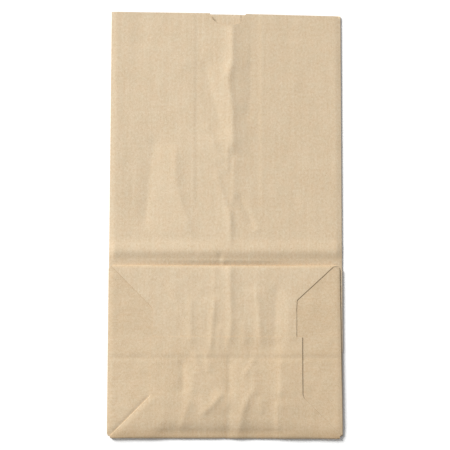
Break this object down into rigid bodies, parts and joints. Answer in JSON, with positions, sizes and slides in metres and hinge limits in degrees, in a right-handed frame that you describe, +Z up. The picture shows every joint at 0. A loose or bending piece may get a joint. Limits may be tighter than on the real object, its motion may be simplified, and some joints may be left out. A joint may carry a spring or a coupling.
{
  "type": "paper lunch bag",
  "caption": "Brown kraft paper lunch bag, folded flat, with side gussets, a block bottom folded up over the front and a thumb notch at the mouth.",
  "frame": {"origin": "centre of the bounding box's bottom face: the bag lies on its back panel, whose underside is at z = 0", "axes": "+Y along the bag towards its mouth, +Z up out of the front panel, +X to the right as seen from above"},
  "size_m": [0.1524, 0.2798, 0.004],
  "materials": {
    "kraft_paper": "matt, unbleached kraft paper"
  },
  "bodies": {
    "root": {"paper_bag": "kraft_paper"}
  },
  "joints": []
}
